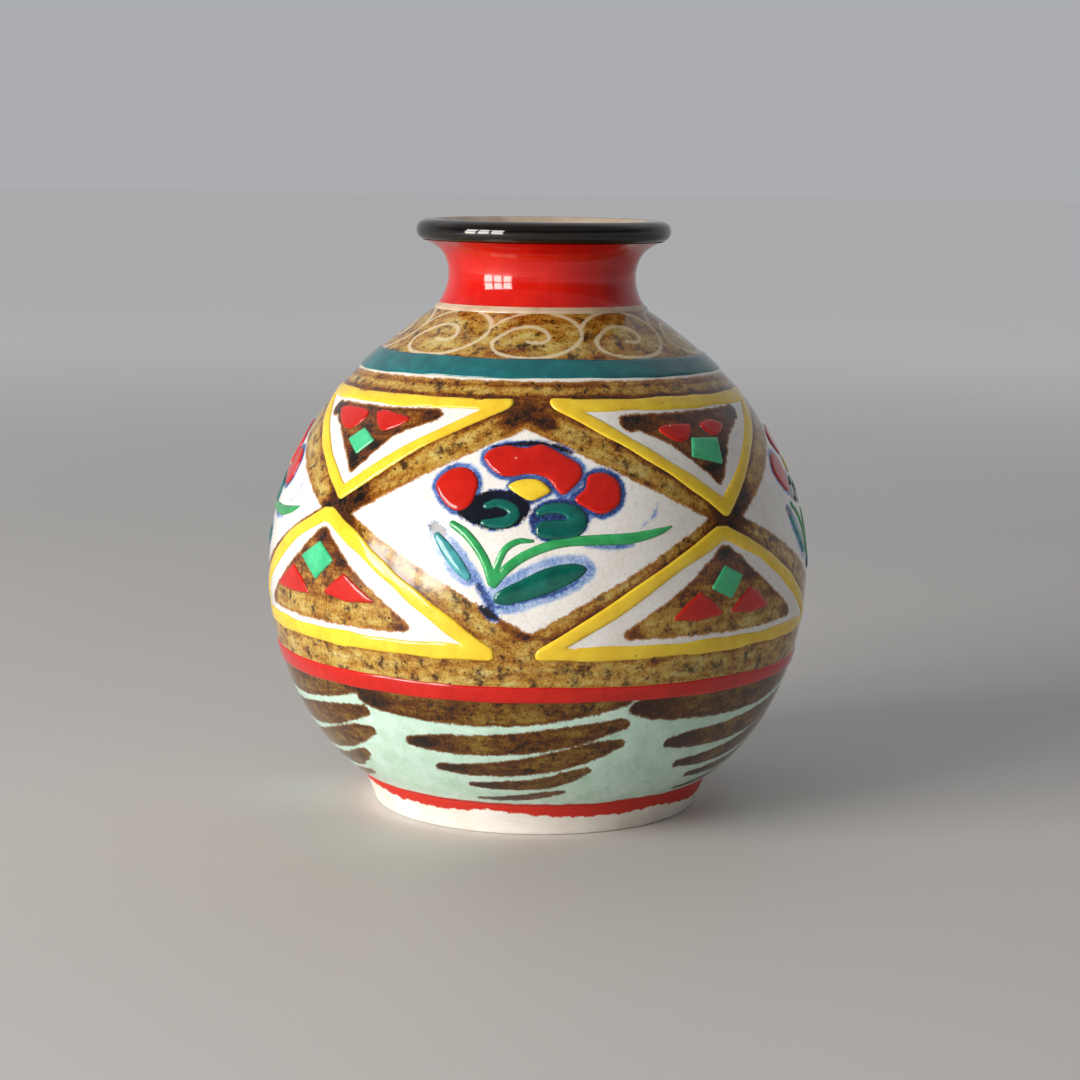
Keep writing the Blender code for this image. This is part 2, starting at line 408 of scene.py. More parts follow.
def repeated(gap_to, count, start, where):
    """The distance to a motif repeated round the vase, for the wall points picked out by where."""
    nearest = np.full(ups.shape, 99.0)
    for copy in range(count):
        centre = math.radians(start + 360 * copy / count)
        across = turn_from(turns[where], centre) * radii[where]
        near = np.abs(across) < 60
        picked = np.flatnonzero(where)[near]
        nearest[picked] = np.minimum(nearest[picked], gap_to(across[near], ups[picked], copy))
    return nearest


def scroll_gap(x, up, copy):
    sway = 0.5 * math.sin(2.4 * copy)
    lines = [fair_line([(*p, SCROLL_HALF_WIDTH) for p in placed(line)]) for line in (SCROLL, SCROLL_TAIL)]
    return np.minimum(*(from_line(x - sway * (up - 125) / 8, up, line) for line in lines))


scroll_band = np.maximum(SCROLL_BAND[0] - ups, ups - SCROLL_BAND[1])
umber = np.minimum(umber, scroll_band)
load = np.where(scroll_band < 2, 0.3 + 0.12 * pool(ups, 0, (139.5, 0, 2.5), (126, 0, 2)), load)
note("scroll", repeated(scroll_gap, SCROLLS, SCROLL_START, (ups > 122) & (ups < 150)))

# THE GROUND STROKES
# Below the red band the ground is mint. Six groups of zigzag strokes go round it, each stroke
# starting full and dark at its left end.
STROKE_GROUPS = 6
STROKE_START = -6
GROUND_STROKES = (
    ((-33.5, 35.4, 2), (-28, 35.2, 3.6), (-12, 34.6, 4.2), (4, 34.8, 3.8), (17, 36.3, 2.6), (25, 37.6, 1.6)),
    ((-23, 24.3, 1.8), (-17, 24.4, 2.8), (-4, 24.9, 3.3), (8, 26.7, 3.4), (18, 29.2, 2.6), (25, 31.2, 1.6)),
    ((-17.5, 16.4, 1.5), (-9, 16.5, 2.3), (1, 17.6, 2.9), (12, 20.6, 3.2), (20, 23.6, 2.6), (25, 25.4, 1.4)),
    ((-10.5, 10.7, 1.1), (-4, 10.7, 1.7), (8, 12, 2.3), (14, 14.6, 2.1), (18.5, 17, 1.3)),
    ((-10, 4.2, 0.7), (-4, 4.6, 1.2), (3, 5.6, 1.6), (9, 7.2, 1.4), (13.5, 8.4, 0.8)),
)


def stroke_gap(x, up, copy):
    sway = 1.2 * math.sin(1.7 * copy)
    return np.minimum.reduce([from_line(x - sway, up, fair_line(placed(s))) for s in GROUND_STROKES])


def stroke_heads(x, up, copy):
    """Below zero near the full left end of a stroke."""
    heads = [placed(line)[0] for line in GROUND_STROKES]
    return np.minimum.reduce([np.hypot((x - a - 3.5) / 2.2, up - b) - 2.4 for a, b, _ in heads])


on_ground = ups < 42
umber = np.minimum(umber, repeated(stroke_gap, STROKE_GROUPS, STROKE_START, on_ground))
heads = repeated(stroke_heads, STROKE_GROUPS, STROKE_START, on_ground)
load = np.where(ups < 38.5, 0.5 + 0.5 * np.clip(0.4 - heads / 4, 0, 1), load)
note("umber", umber)
note("umber_load", load)

# The streaks are stretched along the bars of the lattice, and elsewhere round the vase
STRETCH = 5.0
BAR_SLOPE = math.radians(28)
slope = np.where((flower_x < 0) == (ups > CROSSINGS_UP), 1, -1) * BAR_SLOPE
along = flower_x * np.cos(slope) + ups * np.sin(slope)
across = ups * np.cos(slope) - flower_x * np.sin(slope)
bar_way = np.stack([along / STRETCH, across, 40 * slope], -1)
places = on_wall(turns, np.clip(ups, 0, WALL_LENGTH))
round_way = places * (1 / STRETCH, 1 / STRETCH, 1)
is_bar = (bars < 3) & (from_crossings < 31) & (panels > 0)
note("brush_way", np.where(is_bar[:, None], bar_way, round_way), "FLOAT_VECTOR")

# THE COBALT
# Blue brushed round each flower before the enamels: nearly black behind the curled leaves, a
# soft line round the petals, and a thin wash round the two long leaves.
LEFT_PETAL = (
    (-20.5, 91.5), (-17, 93.3), (-13.6, 92.7), (-11.8, 89.5),
    (-13.4, 84.4), (-16.8, 82.5), (-20.2, 84.5), (-22.4, 88.3),
)
TOP_PETAL = (
    (-10.8, 95.6), (-9.4, 98), (-5.4, 99.3), (-1.2, 98.8), (3, 99.7), (8, 97), (11.8, 94.4),
    (12.1, 91), (8.4, 87.1), (6.4, 88.2), (4, 91), (0, 92), (-5, 91.2), (-8.2, 92.4),
)
RIGHT_PETAL = (
    (13.8, 91.8), (17.5, 92.5), (21.2, 89.9), (21.4, 84.9),
    (17.4, 82.3), (13.4, 83.8), (10.6, 86), (13, 88.6),
)
FLOWER_EYE = ((-4.9, 89), (-2.2, 90.7), (2.2, 90.8), (5.2, 88.1), (2.8, 86.3), (0.4, 85.5), (-2.6, 87))
SMALL_CURL = (
    (-9.8, 84.1, 0.9), (-7.2, 84.9, 1.2), (-4.6, 84.2, 1.4), (-3.2, 82.5, 1.5),
    (-4.6, 80.7, 1.5), (-7.4, 80.1, 1.4), (-10.3, 80.1, 0.9),
)
BIG_CURL = (
    (2.6, 82.8, 1), (4.6, 83.7, 1.3), (7.6, 83.8, 1.5), (10.4, 82.8, 1.9),
    (11.7, 80.8, 2.2), (10, 79, 2.5), (6.8, 78.7, 2.5), (3.8, 78.8, 2.2),
)
LEFT_STEM = ((-17.7, 79.4, 1), (-14.5, 77.4, 1.2), (-11.5, 74, 1.2), (-9.4, 70.4, 1.2), (-8.2, 66.4, 1.1))
MIDDLE_STEM = ((-7.6, 66.4, 0.8), (-7, 70, 0.9), (-5.2, 74, 0.9), (-2.2, 76, 0.8), (1.2, 76.1, 0.5))
LONG_STEM = (
    (-7.6, 65.8, 0.9), (-4.8, 69.5, 1.2), (0, 73, 1.2), (7, 75.6, 1.2),
    (14.3, 76.3, 1.3), (23.8, 76.5, 1.4), (31, 77.7, 1), (34.8, 78.9, 0.3),
)
SMALL_LEAF = ((-21.4, 76.4, 1), (-19.3, 73.8, 1.6), (-16.4, 70.2, 1.7), (-14, 67.5, 1.1))
BIG_LEAF = (
    (-7.8, 62.2), (-6.6, 64.4), (-1.4, 67.2), (4.4, 70), (10.4, 71.1), (13.6, 70.2),
    (13.4, 68.6), (10.4, 66.4), (4.6, 63.8), (-1.4, 61.9), (-5.6, 61.1),
)
SMALL_CURL_GROUND = (
    (-16.6, 81.8), (-14.4, 85.4), (-8.6, 88.2), (-3, 87.6),
    (0.4, 84.6), (-0.8, 81), (-5.6, 78.4), (-11.6, 79),
)
BIG_CURL_GROUND = (
    (0.2, 81.8), (2, 84.8), (6.4, 86.3), (11, 85.7), (14.3, 82.4),
    (13.7, 79), (10, 76.2), (4.4, 75.6), (0.8, 78),
)
TENDRIL = ((27, 79.2, 0.25), (30, 81.6, 0.35), (31, 84.6, 0.3))


def blot(x, up, *outline):
    return from_shape(x, up, fair_line(outline, closed=True))


def stroke(x, up, *line):
    return from_line(x, up, fair_line(line))


near_flower = (np.abs(flower_x) < 42) & (ups > 52) & (ups < 106)
x, up = flower_x[near_flower], ups[near_flower]
# Each part of the blue: how far its edge is, and how full the brush was
blues = (
    (blot(x, up, *LEFT_PETAL) - 1.1, 0.5),
    (blot(x, up, *TOP_PETAL) - 1.1, 0.52),
    (stroke(x, up, (-8.6, 98.7, 0.5), (-1, 99.9, 0.7), (5, 99.5, 0.7), (9.6, 97.4, 0.6)), 0.9),
    (blot(x, up, *RIGHT_PETAL) - 1.2, 0.62),
    (blot(x, up, *FLOWER_EYE) - 0.7, 0.6),
    (blot(x, up, *SMALL_CURL_GROUND), 0.98),
    (blot(x, up, *BIG_CURL_GROUND), 0.66),
    (blot(x, up, *BIG_LEAF) - 2.1, 0.3),
    (stroke(x, up, (-7, 60.6, 0.3), (0, 62.3, 0.5), (8, 64.8, 0.6), (12.6, 67.4, 0.3)), 0.6),
    (stroke(x, up, *SMALL_LEAF) - 1.5, 0.34),
    (stroke(x, up, (-22.2, 78.4, 1.7), (-20.4, 77.6, 1.5)), 0.8),
    (stroke(x, up, (-18.4, 75.6, 1.1), (-15, 72, 1.3), (-12, 68, 1), (-10, 64.6, 0.9)), 0.32),
    (stroke(x, up, (-11.4, 65.4, 0.8), (-9.4, 63, 1.2), (-8, 60.6, 1.1)), 0.6),
    (stroke(x, up, (13.5, 75.2, 0.6), (19, 74.8, 1), (25, 75, 0.6)), 0.4),
    (stroke(x, up, (-10.6, 60.4, 0.8), (-8.6, 58.9, 1.1), (-6.6, 58, 0.6)), 0.98),
    (stroke(x, up, *TENDRIL), 0.4),
)
blue = np.min([gap for gap, _ in blues], 0)
weights = np.array([np.exp(-np.maximum(gap + 0.3, 0) * 2.2) for gap, _ in blues])
fullness = (weights * np.array([full for _, full in blues])[:, None]).max(0)
cobalt = np.full(ups.shape, 50.0)
cobalt[near_flower] = blue
cobalt_load = np.zeros(ups.shape)
cobalt_load[near_flower] = fullness
note("cobalt", cobalt)
note("cobalt_load", cobalt_load)

# THE CLEAR GLAZE
# A glassy clear glaze over the brushwork, fired until the umber bled and broke into specks. It
# is crazed: it shrank more than the clay and split into fine cells, which tea-coloured dirt fills.
CRAZE_CELL = 1.9
CRAZE_WIDTH = 0.035
SPECK = 0.6
RUST_PATCH = 3.1
PINHOLE_SPACING = 3.4
RED_EDGE_UP = 3.4
glaze, tree, surface, place = finish_of("Crazed clear glaze over brushed oxides", 0.1, 1.52)
drawn = {
    name: add(tree, "Attribute", {}, out="Fac", attribute_name=name)
    for name in ("way_up", "umber", "umber_load", "scroll", "cobalt", "cobalt_load")
}
brush_way = add(tree, "Attribute", {}, out="Vector", attribute_name="brush_way")
wander, mottle, fine, rust = (
    add(tree, "TexNoise", {"Vector": place, "Scale": 1 / (size * MM), "Detail": detail, "Roughness": rough})
    for size, detail, rough in ((2.4, 5, 0.62), (5.5, 4, 0.6), (SPECK, 2, 0.6), (RUST_PATCH, 5, 0.72))
)
streaks = add(tree, "TexNoise", {"Vector": brush_way, "Scale": 0.6, "Detail": 3, "Roughness": 0.55})
# The firing roughened each brushed edge and broke up each colour, by so much of each noise
for name, *noises in (
    ("umber", (wander, 1.5), (fine, 0.7)),
    ("umber_load", (streaks, 0.8), (mottle, 0.7), (fine, 0.6)),
    ("scroll", (wander, 0.9)),
    ("cobalt", (wander, 2.2), (fine, 1.2)),
    ("cobalt_load", (mottle, 0.55), (fine, 0.55)),
):
    for noise, share in noises:
        drawn[name] = add(tree, "Math", {0: noise, 1: share, 2: drawn[name]}, operation="MULTIPLY_ADD")

# White slip, and mint below the red band
mints = ((0.28, "#d3ebde"), (0.5, "#c3e2d1"), (0.75, "#aed3bd"))
white = add(tree, "ValToRGB", {"Fac": mottle}, stops=((0.3, "#f3f1ee"), (0.7, "#e7e3dc")))
mint = add(tree, "ValToRGB", {"Fac": mottle}, stops=mints)
below = add(tree, "MapRange", {"Value": drawn["way_up"], "From Min": 40, "From Max": 38})
ground = add(tree, "Mix", {0: below, 6: white, 7: mint}, **RGBA)

# Umber: its soft ragged edge, where the colour pooled, and how dark it fired
painted = {"Value": drawn["umber"], "From Min": 1.4, "From Max": 0.75}
painted = add(tree, "MapRange", painted, interpolation_type="SMOOTHSTEP")
pooled = {"Value": drawn["umber"], "From Min": -0.6, "From Max": 0.9, "To Max": 0.12}
pooled = add(tree, "MapRange", pooled)
rust = add(tree, "MapRange", {"Value": rust, "From Min": 0.47, "From Max": 0.63})
dark = add(tree, "Math", {0: drawn["umber_load"], 1: pooled}, operation="ADD")
dark = add(tree, "MapRange", {"Value": dark, "From Min": 1.08, "From Max": 2.1})
fired = (
    (0, "#c9bd80"), (0.2, "#bfa351"), (0.38, "#a97c2c"), (0.5, "#8b5614"), (0.64, "#633107"),
    (0.8, "#34190a"), (0.95, "#14100e"),
)
oxide = add(tree, "ValToRGB", {"Fac": dark}, stops=fired)
rusts = ((0.15, "#9a5411"), (0.55, "#62300b"), (0.95, "#2e130a"))
burnt = add(tree, "ValToRGB", {"Fac": rust}, stops=rusts)
burning = add(tree, "Math", {0: rust, 1: 0.92}, operation="MULTIPLY")
oxide = add(tree, "Mix", {0: burning, 6: oxide, 7: burnt}, **RGBA)
specks = add(tree, "MapRange", {"Value": fine, "From Min": 0.63, "From Max": 0.69, "To Max": 0.55})
oxide = add(tree, "Mix", {0: specks, 6: oxide, 7: "#3a1d08"}, **RGBA)
# A thin rusty fringe bled from each stroke, and over the mint the umber turns olive
fringe = {"Value": drawn["umber"], "From Min": 0.35, "From Max": 0.8, "To Max": 0.6}
fringe = add(tree, "MapRange", fringe)
oxide = add(tree, "Mix", {0: fringe, 6: oxide, 7: "#ad6c1f"}, **RGBA)
olive = add(tree, "Math", {0: below, 1: 0.85}, operation="MULTIPLY")
oxide = add(tree, "Mix", {0: olive, 6: oxide, 7: "#a3a27c"}, blend_type="MULTIPLY", **RGBA)
colour = add(tree, "Mix", {0: painted, 6: ground, 7: oxide}, **RGBA)
# Pinholes, where the glaze blistered over the umber
holes = add(tree, "TexVoronoi", {"Vector": place, "Scale": 1 / (PINHOLE_SPACING * MM)})
holes = add(tree, "MapRange", {"Value": holes, "From Min": 0.12, "From Max": 0.08, "To Max": 0.9})
holes = add(tree, "Math", {0: holes, 1: painted}, operation="MULTIPLY")
colour = add(tree, "Mix", {0: holes, 6: colour, 7: "#1a0f0a"}, **RGBA)

# The scrolls, wiped through the ochre
wiped = {"Value": drawn["scroll"], "From Min": 0.75, "From Max": 0.2, "To Max": 0.86}
wiped = add(tree, "MapRange", wiped, interpolation_type="SMOOTHSTEP")
colour = add(tree, "Mix", {0: wiped, 6: colour, 7: "#dccda8"}, **RGBA)

# Cobalt, from a thin speckled wash to nearly black
blue_edge = {"Value": drawn["cobalt"], "From Min": 2.2, "From Max": 1.3}
blue_edge = add(tree, "MapRange", blue_edge, interpolation_type="SMOOTHSTEP")
full = add(tree, "MapRange", {"Value": drawn["cobalt_load"], "From Min": 0.55, "From Max": 1.55})
smalts = (
    (0, "#d8e0ee"), (0.28, "#9db5dc"), (0.46, "#5576b8"), (0.62, "#2b437f"), (0.8, "#141c36"),
    (0.95, "#0b0e1a"),
)
smalt = add(tree, "ValToRGB", {"Fac": full}, stops=smalts)
colour = add(tree, "Mix", {0: blue_edge, 6: colour, 7: smalt}, **RGBA)

# The red edge at the foot, and the crazing
edge = add(tree, "Math", {0: streaks, 1: 4, 2: drawn["way_up"]}, operation="MULTIPLY_ADD")
edge = {"Value": edge, "From Min": RED_EDGE_UP + 0.5, "From Max": RED_EDGE_UP, "To Max": 0.95}
edge = add(tree, "MapRange", edge)
colour = add(tree, "Mix", {0: edge, 6: colour, 7: "#b92012"}, **RGBA)
bent = add(tree, "TexNoise", {"Vector": place, "Scale": 1 / (4 * MM), "Detail": 2}, out="Color")
bent = add(tree, "VectorMath", {0: bent, 1: (1.4 * MM,) * 3, 2: place}, operation="MULTIPLY_ADD")
cells = {"Vector": bent, "Scale": 1 / (CRAZE_CELL * MM)}
cells = add(tree, "TexVoronoi", cells, feature="DISTANCE_TO_EDGE")
cracks = {"Value": cells, "From Min": CRAZE_WIDTH, "From Max": CRAZE_WIDTH / 3, "To Max": 0.22}
cracks = add(tree, "MapRange", cracks)
tea = {0: cracks, 6: colour, 7: "#a59a88"}
colour = add(tree, "Mix", tea, blend_type="MULTIPLY", **RGBA)
waves = add(tree, "TexNoise", {"Vector": place, "Scale": 1 / (7 * MM), "Detail": 2})
dress(tree, surface, colour, (waves, 0.3, 0.12), (dark, 0.35, 0.05), (cracks, 0.2, 0.02))
for section in (bowl, dome):
    section.data.materials.append(glaze)

# THE COLLAR
# The waisted neck, thrown apart and luted on. It is dipped in a thick opaque red, which ends in a
# soft roll on the shoulder, and its throat has only a cream glaze.
COLLAR_SKIN = 0.15
LEAN = 0.026
DIP = 0.013
CREAM_EDGE = 0.7
lip_low, lip_high = (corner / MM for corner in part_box("rim_roll"))
collar_low, collar_high = (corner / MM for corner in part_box("neck_collar"))

# Opaque red: it is even and very glossy, and shows a little orange where it ran thin
red_glaze, tree, surface, place = finish_of("Opaque red glaze", 0.07, 1.53)
flow = add(tree, "Mapping", {"Vector": place, "Scale": (1, 1, 0.3)})
thin = add(tree, "TexNoise", {"Vector": flow, "Scale": 1 / (6 * MM), "Detail": 3})
reds = ((0.3, "#b90f07"), (0.55, "#c51509"), (0.75, "#d12210"))
colour = add(tree, "ValToRGB", {"Fac": thin}, stops=reds)
height = add(tree, "SeparateXYZ", {0: place}, out="Z")
above_foot = add(tree, "Math", {0: height, 1: neck_root * MM}, operation="SUBTRACT")
foot_edge = {"Value": above_foot, "From Min": 1.3 * MM, "From Max": -0.1 * MM, "To Max": 0.5}
foot_edge = add(tree, "MapRange", foot_edge)
colour = add(tree, "Mix", {0: foot_edge, 6: colour, 7: "#9c1008"}, **RGBA)
waves = add(tree, "TexNoise", {"Vector": place, "Scale": 1 / (8 * MM), "Detail": 1})
dress(tree, surface, colour, (waves, 0.35, 0.2))

collar_heights = np.linspace(neck_root + 0.2, lip_low.z - 0.5, 24)
collar_radii = [reach("neck_collar", height) for height in collar_heights]
collar_radius = np.polynomial.Chebyshev.fit(collar_heights, collar_radii, 6)
throat_heights = np.linspace(collar_high.z - 0.4, neck_root, 14)
throat_radii = [reach("neck_collar", height, outwards=True) for height in throat_heights]
root = collar_radius(neck_root)
skin_heights = np.linspace(neck_root + 0.5, lip_low.z + 0.2, 44)
collar_profile = [(root + out, neck_root + up) for out, up in ((0.5, -0.6), (0.42, -0.18), (0.25, 0.1))]
collar_profile += [(collar_radius(height) + COLLAR_SKIN, height) for height in skin_heights]
collar_profile += [(throat_radii[0] + 1.6, height) for height in (lip_low.z + 0.3, collar_high.z)]
collar_profile += [(throat_radii[0] + 0.1, collar_high.z)]
outer_rows = len(collar_profile) - 2
collar_profile += list(zip(throat_radii, throat_heights))
collar_profile += [(throat_radii[-1], collar_low.z), (collar_high.x - 10.4, collar_low.z)]
collar_profile += [(root - 4, neck_root - 0.6)]

# Cream glaze, thin enough for the buff clay to warm it
cream_glaze, tree, surface, place = finish_of("Thin cream glaze", 0.16, 1.5)
cloud = add(tree, "TexNoise", {"Vector": place, "Scale": 1 / (7 * MM), "Detail": 4})
creams = ((0.3, "#d6c3ab"), (0.6, "#bfa585"), (0.75, "#94744f"))
colour = add(tree, "ValToRGB", {"Fac": cloud}, stops=creams)
pitted = add(tree, "TexNoise", {"Vector": place, "Scale": 1 / (1.2 * MM), "Detail": 3})
dress(tree, surface, colour, (pitted, 0.2, 0.06))


def lean(piece):
    """The neck was set by eye: it leans a hair to the right, and its mouth dips to the front."""
    for point in piece.data.vertices:
        above = max(point.co.z - neck_root * MM, 0)
        point.co.z += DIP * point.co.y * min(above / (MM * (lip_low.z - neck_root)), 1)
        point.co.x += LEAN * above


collar = turned("waisted_collar", 320, collar_profile, red_glaze)
collar.data.materials.append(cream_glaze)
collar_rows = len(collar_profile)
for face in collar.data.polygons:
    row = face.index % collar_rows
    face.material_index = int(outer_rows <= row or collar_profile[row][1] < neck_root + CREAM_EDGE)
lean(collar)
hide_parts("neck_collar")

# THE RIM ROLL
# The lip was rolled over wet into a fat bead, then brushed with black-brown. The glaze is thin
# on the crest, where the brown shows, and stops in a wavy line inside the mouth.
BEAD_STEPS = 28
bead_rise = (lip_high.z - lip_low.z) / 2
bead_middle = lip_low.z + bead_rise
bead_reach = 3.5
mouth_low = collar_high.z + 0.1
crest = lip_high.x - bead_reach
bead_turns = np.linspace(-0.62 * math.pi, 0.56 * math.pi, BEAD_STEPS)
# A slightly squared bead: it hangs full under the crest, as a rolled lip does
squared = [np.sign(f(bead_turns)) * np.abs(f(bead_turns)) ** 0.88 for f in (np.cos, np.sin)]
rim_profile = list(zip(crest + bead_reach * squared[0], bead_middle + bead_rise * squared[1]))
rim_profile += [(27, lip_high.z - 0.5), (26.3, lip_high.z - 1), (25.2, mouth_low + 0.9)]
rim_profile += [(24.3, mouth_low + 0.3), (23.5, mouth_low - 0.2), (23.7, mouth_low - 1.2)]
rim_profile += [(25.3, lip_low.z + 0.8)]

# Black-brown gloss: iron and manganese, so thick that only its thin edges show brown
rim_glaze, tree, surface, place = finish_of("Black-brown gloss glaze", 0.06, 1.55)
break_up = add(tree, "TexNoise", {"Vector": place, "Scale": 1 / (5 * MM), "Detail": 4})
height = add(tree, "SeparateXYZ", {0: place}, out="Z")
crown_low = (bead_middle + 1.6) * MM
crown = {"Value": height, "From Min": crown_low, "From Max": lip_high.z * MM, "To Max": 0.45}
crown = add(tree, "MapRange", crown)
breaks = add(tree, "Math", {0: break_up, 1: 0.8, 2: crown}, operation="MULTIPLY_ADD")
browns = ((0.3, "#090604"), (0.6, "#150c07"), (0.8, "#311d10"), (0.95, "#4c2f18"))
colour = add(tree, "ValToRGB", {"Fac": breaks}, stops=browns)
waves = add(tree, "TexNoise", {"Vector": place, "Scale": 1 / (6 * MM), "Detail": 1})
dress(tree, surface, colour, (waves, 0.3, 0.2))

rim = turned("rolled_rim", 320, rim_profile, rim_glaze)
rim.data.materials.append(cream_glaze)
lean(rim)
for face in rim.data.polygons:
    face.material_index = int(face.index % len(rim_profile) >= BEAD_STEPS - 1)
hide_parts("rim_roll")

# THE ENAMEL BANDS
# Raised bands of opaque enamel, laid on the turning vase from a loaded brush: signal red at the
# foot of the lattice, and teal over it. The bead stands about 0.4 mm proud, with wavy edges.
BAND_ROWS = 15
SUNK = 0.2
EDGE_SUNK = 0.05


def enamel(name, thick, thin, pitted="#3a2a1c"):
    """Opaque raised enamel: glassy, a little uneven in strength, with a few dark pinholes."""
    material, tree, surface, place = finish_of(name, 0.11, 1.54)
    strength = {"Vector": place, "Scale": 1 / (4.5 * MM), "Detail": 5, "Roughness": 0.6}
    strength = add(tree, "TexNoise", strength)
    colour = add(tree, "ValToRGB", {"Fac": strength}, stops=((0.34, thick), (0.68, thin)))
    holes = add(tree, "TexVoronoi", {"Vector": place, "Scale": 1 / (7 * MM)})
    holes = add(tree, "MapRange", {"Value": holes, "From Min": 0.045, "From Max": 0.03, "To Max": 0.7})
    colour = add(tree, "Mix", {0: holes, 6: colour, 7: pitted}, **RGBA)
    waves = add(tree, "TexNoise", {"Vector": place, "Scale": 1 / (3.2 * MM), "Detail": 2})
    dress(tree, surface, colour, (waves, 0.35, 0.12))
    return material


def dome_over(depth, shoulder, thickness):
    """The lift of enamel at a depth in from its edge: a round shoulder, then level."""
    return thickness * np.sqrt(1 - (1 - np.clip(depth / shoulder, 0, 1)) ** 2)


def enamel_band(name, low, high, wander, thickness, material):
    turn = all_round(BALL_SIDES)
    share = (1 - np.cos(np.linspace(0, math.pi, BAND_ROWS)))[None, :] / 2
    sway = 0.6 * np.sin(turn + 1.2) + 0.3 * np.sin(7 * turn) + 0.15 * np.sin(23 * turn + 2)
    bottom = low + wander * sway
    sway = np.sin(turn + math.pi) + 0.3 * np.sin(9 * turn + 1) + 0.12 * np.sin(31 * turn)
    top = high + wander * sway
    up = bottom + (top - bottom) * share
    depth = np.minimum(up - bottom, top - up)
    over = on_wall(turn, up, dome_over(depth, 1.1, thickness) - EDGE_SUNK)
    under = on_wall(turn, up[:, ::-1], -SUNK)
    points = np.concatenate([over, under], 1)
    band = new_piece(name, points, wheel_faces(BALL_SIDES, points.shape[1], True), material)


red_enamel = enamel("Signal red raised enamel", "#ba1308", "#cc1f10", "#e9b79c")
teal_enamel = enamel("Teal raised enamel", "#12595f", "#1c7277")
enamel_band("red_enamel_band", 37.1, 41.4, 0.35, 0.42, red_enamel)
enamel_band("teal_enamel_band", 117.9, 124.6, 0.45, 0.38, teal_enamel)

# The slip left bare in a thin line at each side of the teal, and where the neck's red ends
slip_line = enamel("Cream slip line", "#e9e0cf", "#dccfb6", "#c8b48f")
enamel_band("cream_line_under_teal", 117.3, 118.1, 0.2, 0.08, slip_line)
enamel_band("cream_line_under_collar", 143.0, WALL_LENGTH - 0.2, 0.15, 0.08, slip_line)

# THE YELLOW FRAMES
# Eight triangles drawn in thick yellow enamel from a slip trailer, four with the tip down and
# four with the tip up. The trail swells where the hand slowed, and rounds at its turns.
FRAME_HALF_WIDTH = 1.86
ENAMEL_GRID = 0.42


def raised(name, shapes, thickness, shoulder, material):
    """Enamel drops, domed and sunk at the edge. A shape is its turn, box in mm, and distance to edge."""
    points, faces = [], []
    for centre, (left, right, low, high), gap_to in shapes:
        columns, rows = np.arange(left, right, ENAMEL_GRID), np.arange(low, high, ENAMEL_GRID)
        x, up = np.meshgrid(columns, rows, indexing="ij")
        gap = gap_to(x, up)
        # Points close to the edge are drawn on to it, so the outline is smooth
        slope_x, slope_up = np.gradient(gap, ENAMEL_GRID)
        steep = np.maximum(slope_x**2 + slope_up**2, 0.25)
        at_edge = np.abs(gap) < ENAMEL_GRID / 2
        x = np.where(at_edge, x - gap * slope_x / steep, x)
        up = np.where(at_edge, up - gap * slope_up / steep, up)
        inside = at_edge | (gap < 0)
        number = np.arange(x.size).reshape(x.shape)
        corners, kept, gaps = (
            np.stack([grid[:-1, :-1], grid[1:, :-1], grid[1:, 1:], grid[:-1, 1:]], -1).reshape(-1, 4)
            for grid in (number, inside, gap)
        )
        solid = gaps.mean(1) < ENAMEL_GRID / 4
        whole = corners[kept.all(1) & solid]
        cut = [corners[(kept.sum(1) == 3) & ~kept[:, c] & solid] for c in range(4)]
        halves = np.concatenate([np.delete(part, c, 1) for c, part in enumerate(cut)])
        # The underside shares the edge's points
        sides = [part[:, [c, c - 1]] for part in (whole, halves) for c in range(part.shape[1])]
        pairs, uses = np.unique(np.sort(np.concatenate(sides), 1), axis=0, return_counts=True)
        rim_points = np.unique(pairs[uses == 1])
        used = np.unique(pairs)
        inner = np.setdiff1d(used, rim_points)
        turn = centre + x.ravel() / wall_radius(up.ravel())
        lift = dome_over(np.where(at_edge, 0, -gap).ravel(), shoulder, thickness) - EDGE_SUNK
        lift[rim_points] = -EDGE_SUNK
        above, below = np.zeros(x.size, int), np.zeros(x.size, int)
        start = sum(len(part) for part in points)
        above[used] = start + np.arange(len(used))
        below[used] = above[used]
        below[inner] = start + len(used) + np.arange(len(inner))
        points.append(on_wall(turn[used], up.ravel()[used], lift[used]))
        points.append(on_wall(turn[inner], up.ravel()[inner], -SUNK))
        for part in (whole, halves):
            faces += above[part].tolist() + below[part[:, ::-1]].tolist()
    piece = new_piece(name, np.concatenate(points), faces, material)


def frame_gap(outline, span, shift, index):
    """How to find the distance from a point to the edge of one frame's trail."""

    def gap_to(x, up):
        swell = 0.16 * np.sin(0.21 * x + 2 * index) + 0.1 * np.sin(0.47 * x - 0.3 * up + index)
        return np.abs(from_shape(x, drawn_up(up, shift, span), outline)) - FRAME_HALF_WIDTH - swell

    return gap_to


yellow = enamel("Yellow raised enamel", "#f5d53a", "#e8be2a", "#6b4a12")
frames = (
    ("upper", UPPER_FRAME, UPPER_SPAN, UPPER_PANELS, (-38, 38, 78, 114)),
    ("lower", LOWER_FRAME, LOWER_SPAN, LOWER_PANELS, (-51, 51, 46, 82)),
)
for i in range(4):
    for level, outline, span, panels, box in frames:
        middle, shift = panels[i]
        trail = (math.radians(middle), box, frame_gap(outline, span, shift, i))
        raised(f"yellow_{level}_frame_{i + 1}", [trail], 0.34, 1.3, yellow)

